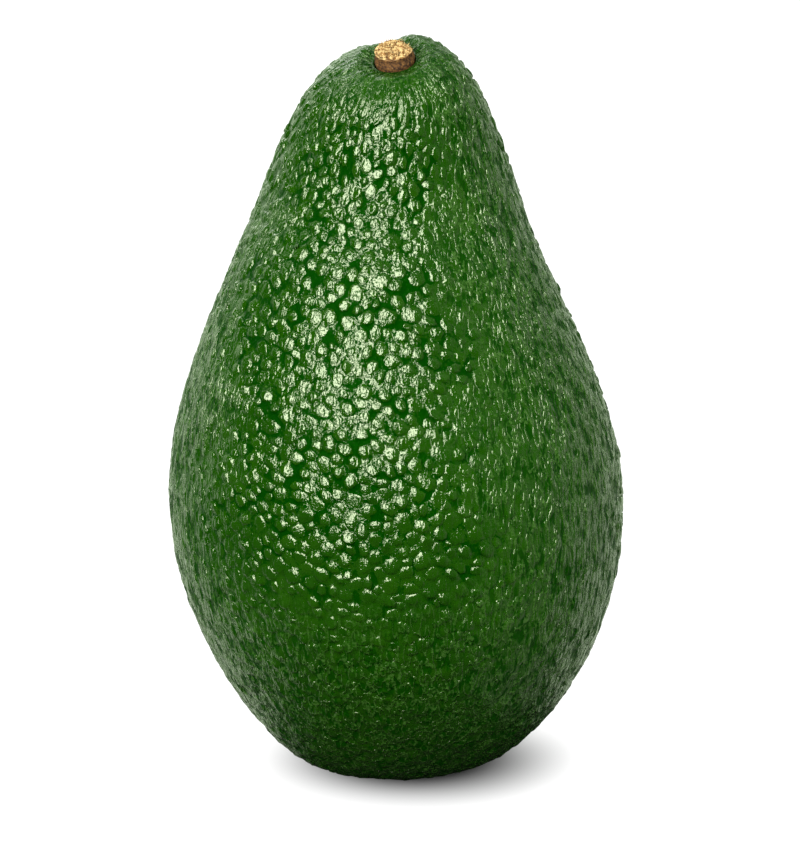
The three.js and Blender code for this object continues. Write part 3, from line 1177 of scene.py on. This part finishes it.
    def add_socket(self, draft: Draft, rim: Array) -> None:
        """Adds the socket's rings inside the rim of the skin.

        Args:
            draft: The skin's mesh, which the rings are added to.
            rim: The rim's points, anticlockwise from outside.
        """
        middle, axes = self.body.stem_frame()
        local = (draft.points[rim] - middle) @ axes
        azimuth = np.arctan2(local[:, 1], local[:, 0])
        wide = np.hypot(local[:, 0], local[:, 1])
        ring, points = rim, [draft.points]
        total = len(draft.points)
        for radius, height, follow in self.socket:
            across = radius + (wide - wide.mean()) * follow
            made = around(azimuth, across, height + (local[:, 2] - height) * follow)
            points.append(made @ axes.T + middle)
            inner = np.arange(total, total + len(rim))
            total += len(rim)
            draft.faces += polygons(ring, np.roll(ring, -1), np.roll(inner, -1), inner)
            ring = inner
        points.append((np.array(((0.0, 0.0, self.socket[-1][1]),)) @ axes.T) + middle)
        draft.faces += polygons(ring, np.roll(ring, -1), np.full(len(ring), total))
        added = total + 1 - len(draft.points)
        draft.points = np.vstack(points)
        within = {Layer.FURROW: 1.0, Layer.TONE: 0.2, Layer.TO_BLOSSOM: 100.0}
        for layer, values in draft.layers.items():
            draft.layers[layer] = np.concatenate((values, np.full(added, within.get(layer, 0.0))))

    def relief(self, material: bpy.types.Material) -> ShapeBoard:
        """The tree that raises the pebbles out of the smooth skin.

        Args:
            material: The skin's material.

        Returns:
            The tree.
        """
        sizes = {
            "Furrow Depth": self.furrow_depth * MM,
            "Unevenness": self.unevenness * MM,
            "Patch Size": self.patch_size * MM,
            "Swell": self.swell * MM,
            "Swell Size": self.swell_size * MM,
        }
        board = ShapeBoard("raise_pebbles", sizes)
        place = board.node("GeometryNodeInputPosition")[0]
        normal = board.node("GeometryNodeInputNormal")[0]
        patches = board.noise(place * (1.0, 1.0, 0.3) / board.inputs["Patch Size"], Noise(1.0)) - 0.5
        swells = board.noise(place / board.inputs["Swell Size"], Noise(1.0, 1.0)) - 0.5
        uneven = patches * board.inputs["Unevenness"] + swells * board.inputs["Swell"]
        streaky = board.layer(Layer.CALM) * self.streaky[1] + self.streaky[0]
        pebbles = board.layer(Layer.RISE) * board.inputs["Furrow Depth"]
        board.shift(normal * (pebbles + uneven * board.layer(Layer.GROWN) * streaky))
        # Whatever would reach below the floor is pressed flat.
        low = board.node("GeometryNodeInputPosition")[0].parts()[2]
        board.shift((0 - low).at_least(0.0).upward())
        board.finish(material)
        return board

    def build(self) -> bpy.types.Object:
        """Builds the fruit and dresses it.

        Returns:
            The piece.
        """
        base = self.draft().mesh("skin_net")
        piece = self.relief(self.finish.material()).made_on("avocado_fruit", base)
        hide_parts("fruit")
        return piece


# ---- The stem button --------------------------------------------------------------------------------


@dataclass(frozen=True)
class CorkFinish:
    """Corky stem end: tan torn fibres on top with painted shade in their pits, dark brown bark round the
    side.
    """

    fibre: Triple = (0.125, 0.052, 0.006)
    pale: Triple = (0.34, 0.24, 0.095)
    # painted shade in the pits of the torn top
    pit_shade: Triple = (0.05, 0.018, 0.003)
    bark: Triple = (0.08, 0.034, 0.0065)
    bark_dark: Triple = (0.012, 0.004, 0.0006)
    bark_pale: Triple = (0.2, 0.11, 0.03)
    roughness: float = 0.78
    specular: float = 0.3
    fine: Noise = Noise(0.42 * MM, 3.0, 0.7, relief=0.05 * MM)
    broad: Noise = Noise(0.8 * MM)
    dust: Noise = Noise(0.09 * MM, 1.0, relief=0.015 * MM)

    def material(self) -> bpy.types.Material:
        """Builds the finish.

        Returns:
            The material, which reads the button's layers.
        """
        board = ShaderBoard("stem_cork")
        bark = board.layer(Layer.BARK)
        depth = board.layer(Layer.DEPTH)
        fine = board.noise(board.place, self.fine)
        broad = board.noise(board.place, self.broad)
        torn = board.mix(fine.step(0.43, 0.54), self.fibre, self.pale)
        # painted shade: darker where the torn top is pitted deeper
        torn = board.mix((depth + fine * 0.5).step(0.6, 1.0), torn, self.pit_shade)
        side = board.mix(fine.step(0.4, 0.56), self.bark_dark, self.bark)
        side = board.mix((fine * 0.6 + broad * 0.4).step(0.56, 0.66) * 0.8, side, self.bark_pale)
        colour = board.mix((bark + (fine - 0.5) * 0.5).step(0.35, 0.65), torn, side)
        height = fine * self.fine.relief + board.noise(board.place, self.dust) * self.dust.relief
        return board.finish(board.shader({
            "Base Color": colour,
            "Roughness": self.roughness,
            "Specular IOR Level": self.specular,
            "Normal": board.bump(height),
        }))


@dataclass
class StemButton:
    """The stem's stub: a short corky cylinder with a torn top, whose base is sunk in the socket."""

    body: Body
    finish: CorkFinish = field(default_factory=CorkFinish)
    # Radius and height of its half outline, from its underside up. Height 0 is the skin's level.
    outline: tuple[Pair, ...] = (
        (0, -1.1), (1.3, -1.1), (2.5, -1.1), (2.8, -0.7), (2.9, -0.1), (2.95, 0.35), (2.84, 0.8),
        (2.76, 1.3), (2.8, 1.78), (2.6, 1.98), (1.75, 2.04), (0.9, 2.0), (0, 2.06),
    )
    sides: int = 150
    rings: int = 76
    rough_above: Pair = (-0.1, 0.5)  # the heights over which its roughness sets in
    torn_above: float = 1.86
    rim_width: float = 0.16  # of the bark's edge below that
    chip_depth: float = 0.45
    chip_inset: float = 0.09
    chip_azimuth: float = 30
    chip_spread: float = 20
    chip_reach: Pair = (1.2, 3.0)  # the distances from the axis over which the chip sets in
    chip_above: float = 1.0
    bark_relief: float = 0.16
    bark: Noise = Noise(0.34 * MM, 3.0, 0.6, upright=0.35)
    tear_depth: float = 0.34
    tear: Noise = Noise(0.32 * MM, 2.0, 0.6)
    tear_ways: tuple[Triple, ...] = ((1.0, 0.22, 0.4), (0.22, 1.0, 0.4))  # the two ways it is torn
    flakes: float = 14  # to the square millimetre
    flake_length: float = 0.5
    flake_width: float = 0.035
    flake_taper: float = 0.4
    flake_turns: tuple[Triple, Triple] = ((1.2, -0.35, 0.0), (1.5, 0.35, 2 * math.pi))
    flake_sizes: tuple[Triple, Triple] = ((0.6, 0.6, 0.4), (1.3, 1.3, 1.3))
    seed: int = 5

    def draft(self) -> Draft:
        """Turns the outline into a fine closed mesh and breaks the chip out of its rim.

        Returns:
            The mesh, in the stem's frame.
        """
        radius, height = np.array(self.outline, dtype=float).T
        length = climbed(np.hypot(np.diff(radius), np.diff(height)))
        wanted = np.linspace(0, length[-1], self.rings + 1)[1:-1]
        across, up = (np.interp(wanted, length, part).repeat(self.sides) for part in (radius, height))
        azimuth = np.arange(self.sides) * 2 * math.pi / self.sides
        grid = around(np.tile(azimuth, len(wanted)), across, up)
        points = np.vstack((grid, (0, 0, height[0]), (0, 0, height[-1])))
        chipped = bell(np.arctan2(points[:, 1], points[:, 0]), self.chip_azimuth, self.chip_spread)
        chipped *= smoothstep(np.hypot(points[:, 0], points[:, 1]), *self.chip_reach)
        broken = chipped * smoothstep(points[:, 2], self.chip_above, self.torn_above)
        points[:, 2] -= self.chip_depth * broken
        points[:, :2] *= (1 - self.chip_inset * broken)[:, None]
        whole = points[:, 2] + self.chip_depth * chipped
        layers = {
            Layer.BARK: 1 - smoothstep(whole, self.torn_above - self.rim_width, self.torn_above),
            Layer.GROWN: smoothstep(points[:, 2], *self.rough_above),
        }
        index = np.arange(len(grid)).reshape(len(wanted), self.sides)
        right = np.roll(index, -1, axis=1)
        faces = polygons(index[:-1], right[:-1], right[1:], index[1:])
        faces += polygons(right[0], index[0], np.full(self.sides, len(grid)))
        faces += polygons(index[-1], right[-1], np.full(self.sides, len(grid) + 1))
        return Draft(points, faces, layers)

    def tearing(self, material: bpy.types.Material) -> ShapeBoard:
        """The tree that roughens the bark, tears the top and sets flakes of cork into it.

        Args:
            material: The button's material.

        Returns:
            The tree.
        """
        sizes = {
            "Bark Relief": self.bark_relief * MM,
            "Tear Depth": self.tear_depth * MM,
            "Flake Density": self.flakes / MM**2,
            "Flake Length": self.flake_length * MM,
            "Flake Width": self.flake_width * MM,
        }
        board = ShapeBoard("tear_button", sizes)
        place = board.node("GeometryNodeInputPosition")[0]
        normal = board.node("GeometryNodeInputNormal")[0]
        bark = board.layer(Layer.BARK)
        ground = board.noise(place, self.bark) - 0.5
        crossed = [board.noise(place * stretch, self.tear) for stretch in self.tear_ways]
        pit = crossed[0].at_most(crossed[1]).step(0.46, 0.34) * (1 - bark)
        height = ground * bark * board.inputs["Bark Relief"] - pit * board.inputs["Tear Depth"]
        board.keep(Layer.DEPTH, pit)
        board.shift(normal * height * board.layer(Layer.GROWN))
        self.add_flakes(board, bark)
        board.finish(material)
        return board

    def add_flakes(self, board: ShapeBoard, bark: Wire) -> None:
        """Sets loose flakes of cork into the torn top.

        Args:
            board: The tree.
            bark: The layer that is 0 on the torn top.
        """
        torn = board.node("FunctionNodeCompare", {"operation": "LESS_THAN"}, {0: bark, 1: 0.35})[0]
        spread = {"Selection": torn, "Density": board.inputs["Flake Density"], "Seed": self.seed}
        spots = board.node(
            "GeometryNodeDistributePointsOnFaces",
            {"distribute_method": "RANDOM"},
            {"Mesh": board.shape, **spread},
        )
        sockets = {
            "Vertices": 4,
            "Side Segments": 1,
            "Fill Segments": 1,
            "Radius Top": board.inputs["Flake Width"] * self.flake_taper,
            "Radius Bottom": board.inputs["Flake Width"],
            "Depth": board.inputs["Flake Length"],
        }
        flake = board.node("GeometryNodeMeshCone", {"fill_type": "NGON"}, sockets)[0]
        turn, size = (
            board.node(
                "FunctionNodeRandomValue",
                {"data_type": "FLOAT_VECTOR"},
                {0: least, 1: most, "Seed": self.seed + place},
            )[0]
            for place, (least, most) in enumerate((self.flake_turns, self.flake_sizes), 1)
        )
        sockets = {"Points": spots[0], "Instance": flake, "Rotation": turn, "Scale": size}
        laid = board.node("GeometryNodeInstanceOnPoints", None, sockets)[0]
        joined = board.tree.nodes.new("GeometryNodeJoinGeometry")
        for wire in (laid, board.shape):
            board.tree.links.new(wire.socket, joined.inputs[0])
        board.shape = Wire(board, joined.outputs[0])

    def build(self) -> bpy.types.Object:
        """Builds the button and dresses it.

        Returns:
            The piece.
        """
        base = self.draft().mesh("button_turned")
        piece = self.tearing(self.finish.material()).made_on("avocado_stem_button", base)
        middle, axes = self.body.stem_frame()
        frame_matrix = Matrix(axes.tolist()).to_4x4()
        frame_matrix.translation = Vector(middle * MM)
        piece.data.transform(frame_matrix)
        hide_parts("stem_button")
        return piece


# ---- The studio -------------------------------------------------------------------------------------


@dataclass(frozen=True)
class SoftBox:
    """A rectangular soft light that faces the fruit. Azimuth 0 is the camera's side, and 90 its right."""

    name: str
    azimuth: float
    elevation: float
    distance: float
    width: float
    height: float
    power: float
    glossy: bool = True  # whether it is mirrored in gloss, or only lights

    def build(self, target: Vector) -> None:
        """Hangs the light.

        Args:
            target: What it faces.
        """
        light = bpy.data.lights.new(self.name, "AREA")
        light.shape = "RECTANGLE"
        light.size, light.size_y = self.width, self.height
        light.energy = self.power
        across, up = math.radians(self.azimuth), math.radians(self.elevation)
        towards = Vector((math.sin(across) * math.cos(up), -math.cos(across) * math.cos(up), math.sin(up)))
        holder = bpy.data.objects.new(self.name, light)
        holder.location = target + towards * self.distance
        holder.rotation_euler = facing(towards)
        holder.visible_camera = False
        holder.visible_glossy = self.glossy
        bpy.context.scene.collection.objects.link(holder)


@dataclass(frozen=True)
class Strip:
    """An upright strip of light in the surround. Azimuth -90 is the camera's side, and 0 its right."""

    azimuth: float
    edge: float  # the cosine of how far from its middle it ends
    core: float  # and of how far it is fully bright
    brightness: float


@dataclass(frozen=True)
class Studio:
    """A pale floor, a pale surround, soft boxes, and the camera. Distances are in metres."""

    target: Triple = (0.0006, 0.0, 0.0524)
    camera_elevation: float = 15
    camera_distance: float = 0.8
    lens: float = 230.3
    floor_size: float = 12.0
    floor_roughness: float = 0.9
    floor_colour: Triple = (0.07, 0.07, 0.07)
    floor_near: Triple = (0.014, 0.018, 0.012)  # what the fruit gets back from the floor close to it
    floor_reach: Pair = (0.026, 0.038)  # between these distances, the floor begins to mirror the surround
    floor_squeeze: Triple = (0.7, 1.0, 1.0)
    floor_shift: Triple = (0.0, 0.011, 0.0)
    pool: Triple = (-0.046, 0.014, 0.0)  # the middle of a pool of light on the floor
    pool_reach: Pair = (0.042, 0.018)
    painted_shadow_fade: Pair = (0.0075, 0.0275)  # painted shadow round the fruit's foot: how far off the floor begins to glow, and glows fully
    # the middle of the painted shadow, a little right of the fruit's foot
    painted_shadow_centre: Triple = (0.0035, 0.0, 0.0)
    surround_tint: Triple = (0.85, 1.0, 0.74)
    strips: tuple[Strip, ...] = (
        Strip(124, 0.83, 0.92, 1.35),
        Strip(56, 0.84, 0.94, 0.72),
        Strip(90, 0.8, 1.0, 0.4),
        Strip(0, 0.45, 0.95, 0.3),
    )
    lights: tuple[SoftBox, ...] = (
        SoftBox("key_box", -24, 30, 0.75, 0.54, 0.80, 20.5),
        SoftBox("fill_box", 58, 22, 0.9, 0.8, 0.8, 11.5, glossy=False),
        SoftBox("left_box", -80, 14, 0.9, 0.4, 0.4, 5.0, glossy=False),
        SoftBox("top_box", 150, 80, 1.0, 0.8, 0.8, 5.0, glossy=False),
        SoftBox("back_box", 180, 22, 1.0, 0.9, 0.9, 18.0, glossy=False),
        SoftBox("back_gloss", 200, 36, 0.9, 0.4, 0.7, 3.0),
    )

    def build(self) -> None:
        """Sets up the floor, the surround, the lights and the camera."""
        self.build_floor()
        self.build_surround()
        for light in self.lights:
            light.build(Vector(self.target))
        self.build_camera()
        bpy.context.scene.view_settings.view_transform = "Standard"

    def build_floor(self) -> None:
        """Lays the floor: white to the camera, but for a painted shadow round the fruit's foot, and dark
        to the fruit close to it.
        """
        half = self.floor_size / 2
        corners = [(x * half, y * half, 0.0) for x, y in ((-1, -1), (1, -1), (1, 1), (-1, 1))]
        mesh = bpy.data.meshes.new("floor")
        mesh.from_pydata(corners, [], [(0, 1, 2, 3)])
        floor = bpy.data.objects.new("floor", mesh)
        bpy.context.scene.collection.objects.link(floor)
        board = ShaderBoard("pale_floor")
        seen = board.node("ShaderNodeLightPath")[0]
        shine = self.shine(board.place * self.floor_squeeze + self.floor_shift)
        shine = shine * board.place.length().step(*self.floor_reach)
        pool = (board.place - self.pool).length().step(*self.pool_reach)
        # painted shadow: to the camera the floor glows white only away from the fruit's foot
        glow = (board.place - self.painted_shadow_centre).length().step(*self.painted_shadow_fade)
        given = board.mix(shine.at_least(pool), BLACK, self.surround_tint)
        mesh.materials.append(board.finish(board.shader({
            "Base Color": board.mix(seen, self.floor_near, self.floor_colour),
            "Roughness": self.floor_roughness,
            "Specular IOR Level": 0.0,
            "Emission Color": board.mix(seen, given, board.mix(glow, BLACK, WHITE)),
            "Emission Strength": 1.0,
        })))

    def build_surround(self) -> None:
        """Lights the surround: white where the camera sees it, and strips of light for the fruit."""
        world = bpy.data.worlds.new("surround")
        world.use_nodes = True
        bpy.context.scene.world = world
        board = Board(world.node_tree)
        seen = board.node("ShaderNodeLightPath")[0]
        strength = self.shine(board.node("ShaderNodeTexCoord")[0]).at_least(seen)
        sockets = {"Color": board.mix(seen, self.surround_tint, WHITE), "Strength": strength}
        light = board.node("ShaderNodeBackground", None, sockets)[0]
        board.node("ShaderNodeOutputWorld", None, {"Surface": light})

    def shine(self, direction: Wire) -> Wire:
        """Adds up the surround's strips of light.

        Args:
            direction: The direction to look in.

        Returns:
            The brightness there.
        """
        level = (direction * LEVEL).way()
        shine: Any = 0
        for strip in self.strips:
            straight = level.along(tuple(around(np.radians(strip.azimuth), 1.0, 0.0)))
            shine = straight.step(strip.edge, strip.core) * strip.brightness + shine
        return shine

    def build_camera(self) -> None:
        """Sets up the camera."""
        camera = bpy.data.cameras.new("camera")
        camera.lens = self.lens
        holder = bpy.data.objects.new("camera", camera)
        up = math.radians(self.camera_elevation)
        towards = Vector((0.0, -math.cos(up), math.sin(up)))
        holder.location = Vector(self.target) + towards * self.camera_distance
        holder.rotation_euler = facing(towards)
        bpy.context.scene.collection.objects.link(holder)
        bpy.context.scene.camera = holder


def main() -> None:
    """Builds the studio and the pieces, and logs each piece's points and faces."""
    Studio().build()
    body = Body()
    for piece in (Fruit(body).build(), StemButton(body).build()):
        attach(piece, ROOT_BODY)
        mesh = piece.data
        log.info("%s: %d points, %d faces", piece.name, len(mesh.vertices), len(mesh.polygons))


if __name__ == "__main__":
    main()
